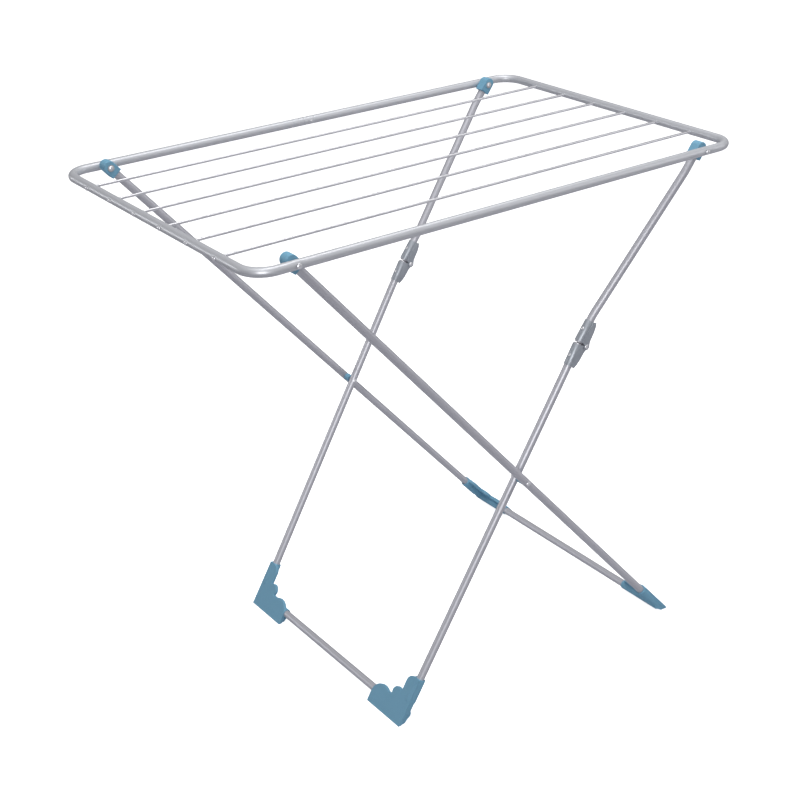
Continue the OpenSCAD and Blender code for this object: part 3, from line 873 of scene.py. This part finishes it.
class RACK_OT_stage(bpy.types.Operator):
    """Lay the pale floor, hang the softboxes and set the camera"""
    bl_idname = "rack.stage"
    bl_label = "Floor, lights and camera"

    def execute(self, context):
        studio = context.scene.rack_studio
        self.floor()
        self.room(context.scene, studio)
        self.softbox("overhead", (0.2, -0.2, 3.4), (0.1, 0, 0.5), 3.6, 0.55, studio.key_power)
        front = self.softbox("front", (-1.85, -2.45, 1.5), (0.1, -0.1, 0.5), 0.8, 1.2, studio.front_power)
        left = self.softbox("left", (-2.5, 2.5, 1.2), (-0.4, 0, 0.9), 1.4, 0.4, studio.side_power)
        front.visible_diffuse = left.visible_diffuse = False
        self.softbox("right", (2.9, -2.4, 1.8), (0, 0, 0.6), 0.9, 2.4, studio.side_power)
        self.camera(context.scene, studio)
        context.scene.view_settings.view_transform = "Standard"
        return {"FINISHED"}

    def floor(self):
        mesh = bpy.data.meshes.new("floor")
        corners = [(x * FLOOR_HALF, y * FLOOR_HALF, 0) for x, y in ((-1, -1), (1, -1), (1, 1), (-1, 1))]
        mesh.from_pydata(corners, [], [(0, 1, 2, 3)])
        material, graph, shader = new_surface("floor_white", Base_Color=(0.9, 0.9, 0.9, 1), Roughness=0.9,
                                              Emission_Color=(1, 1, 1, 1), Emission_Strength=0.9)
        grey = graph.add("ShaderNodeBsdfDiffuse", {}, {"Color": (0.66, 0.66, 0.70, 1)}).node
        seen = graph.add("ShaderNodeLightPath").out("Is Camera Ray")
        shown = graph.add("ShaderNodeMixShader", {}, {0: seen}).node
        graph.tree.links.new(grey.outputs[0], shown.inputs[1])
        graph.tree.links.new(shader.outputs[0], shown.inputs[2])
        graph.tree.links.new(shown.outputs[0], graph.tree.nodes["Material Output"].inputs["Surface"])
        mesh.materials.append(material)
        floor = bpy.data.objects.new("floor", mesh)
        bpy.context.scene.collection.objects.link(floor)

    def room(self, scene, studio):
        level = studio.room_level
        world = bpy.data.worlds.new("studio")
        world.use_nodes = True
        scene.world = world
        graph = Graph(world.node_tree)
        seen = graph.add("ShaderNodeLightPath").out("Is Camera Ray")
        way = graph.add("ShaderNodeTexCoord").out("Generated")
        part = graph.add("ShaderNodeSeparateXYZ", {}, {0: way})
        low, high = level * 0.6, level * 1.5
        near_floor, near_ceiling = (low, low, low * 1.08, 1), (high, high, high * 1.04, 1)
        glow = graph.mix(part.out("Z").step(0.0, 0.85), near_floor, near_ceiling)
        heading = studio.camera_heading
        away = part.out("X") * math.sin(heading) + part.out("Y") * math.cos(heading)
        glow = graph.mix(away.step(-0.3, 0.7, 0, 0.75), glow, (0.02, 0.02, 0.022, 1))
        colour = graph.mix(seen, glow, (1, 1, 1, 1))
        graph.tree.links.new(colour.socket, world.node_tree.nodes["Background"].inputs["Color"])

    def softbox(self, name, place, target, width, height, power):
        light = bpy.data.lights.new(name, "AREA")
        light.shape, light.size, light.size_y, light.energy = "RECTANGLE", width, height, power
        lamp = bpy.data.objects.new(name, light)
        lamp.location = place
        lamp.rotation_euler = (Vector(target) - Vector(place)).to_track_quat("-Z", "Y").to_euler()
        bpy.context.scene.collection.objects.link(lamp)
        return lamp

    def camera(self, scene, studio):
        data = bpy.data.cameras.new("camera")
        data.lens, data.sensor_width, data.clip_end = studio.lens, 36, 100
        camera = bpy.data.objects.new("camera", data)
        heading, dip, roll = studio.camera_heading, studio.camera_dip, studio.camera_roll
        ahead = Vector((math.sin(heading), math.cos(heading), 0))
        forward = ahead * math.cos(dip) - UP * math.sin(dip)
        right = Vector((math.cos(heading), -math.sin(heading), 0))
        over = right.cross(forward)
        rolled_right = math.cos(roll) * right + math.sin(roll) * over
        rolled_over = -math.sin(roll) * right + math.cos(roll) * over
        turn = Matrix((rolled_right, rolled_over, -forward)).transposed()
        camera.matrix_world = Matrix.Translation(studio.camera_place) @ turn.to_4x4()
        scene.collection.objects.link(camera)
        scene.camera = camera


# ---------- panel and run ----------

STEPS = (RACK_OT_stage, RACK_OT_frame_tube, RACK_OT_rails, RACK_OT_rivets, RACK_OT_legs, RACK_OT_mouldings,
         RACK_OT_knees, RACK_OT_small_parts)


class RACK_PT_panel(bpy.types.Panel):
    """Lists the rack's pieces in the sidebar"""
    bl_idname = "RACK_PT_panel"
    bl_label = "Drying rack"
    bl_space_type = "VIEW_3D"
    bl_region_type = "UI"
    bl_category = "Drying rack"

    def draw(self, context):
        for step in STEPS:
            self.layout.operator(step.bl_idname)


CLASSES = (RackSizes, RackFinishes, RackStudio, *STEPS, RACK_PT_panel)


def register():
    for item in CLASSES:
        bpy.utils.register_class(item)
    bpy.types.Scene.rack_sizes = bpy.props.PointerProperty(type=RackSizes)
    bpy.types.Scene.rack_finishes = bpy.props.PointerProperty(type=RackFinishes)
    bpy.types.Scene.rack_studio = bpy.props.PointerProperty(type=RackStudio)


def unregister():
    del bpy.types.Scene.rack_studio
    del bpy.types.Scene.rack_finishes
    del bpy.types.Scene.rack_sizes
    for item in reversed(CLASSES):
        bpy.utils.unregister_class(item)


def main():
    register()
    for step in STEPS:
        group, name = step.bl_idname.split(".")
        getattr(getattr(bpy.ops, group), name)()


if __name__ == "__main__":
    main()
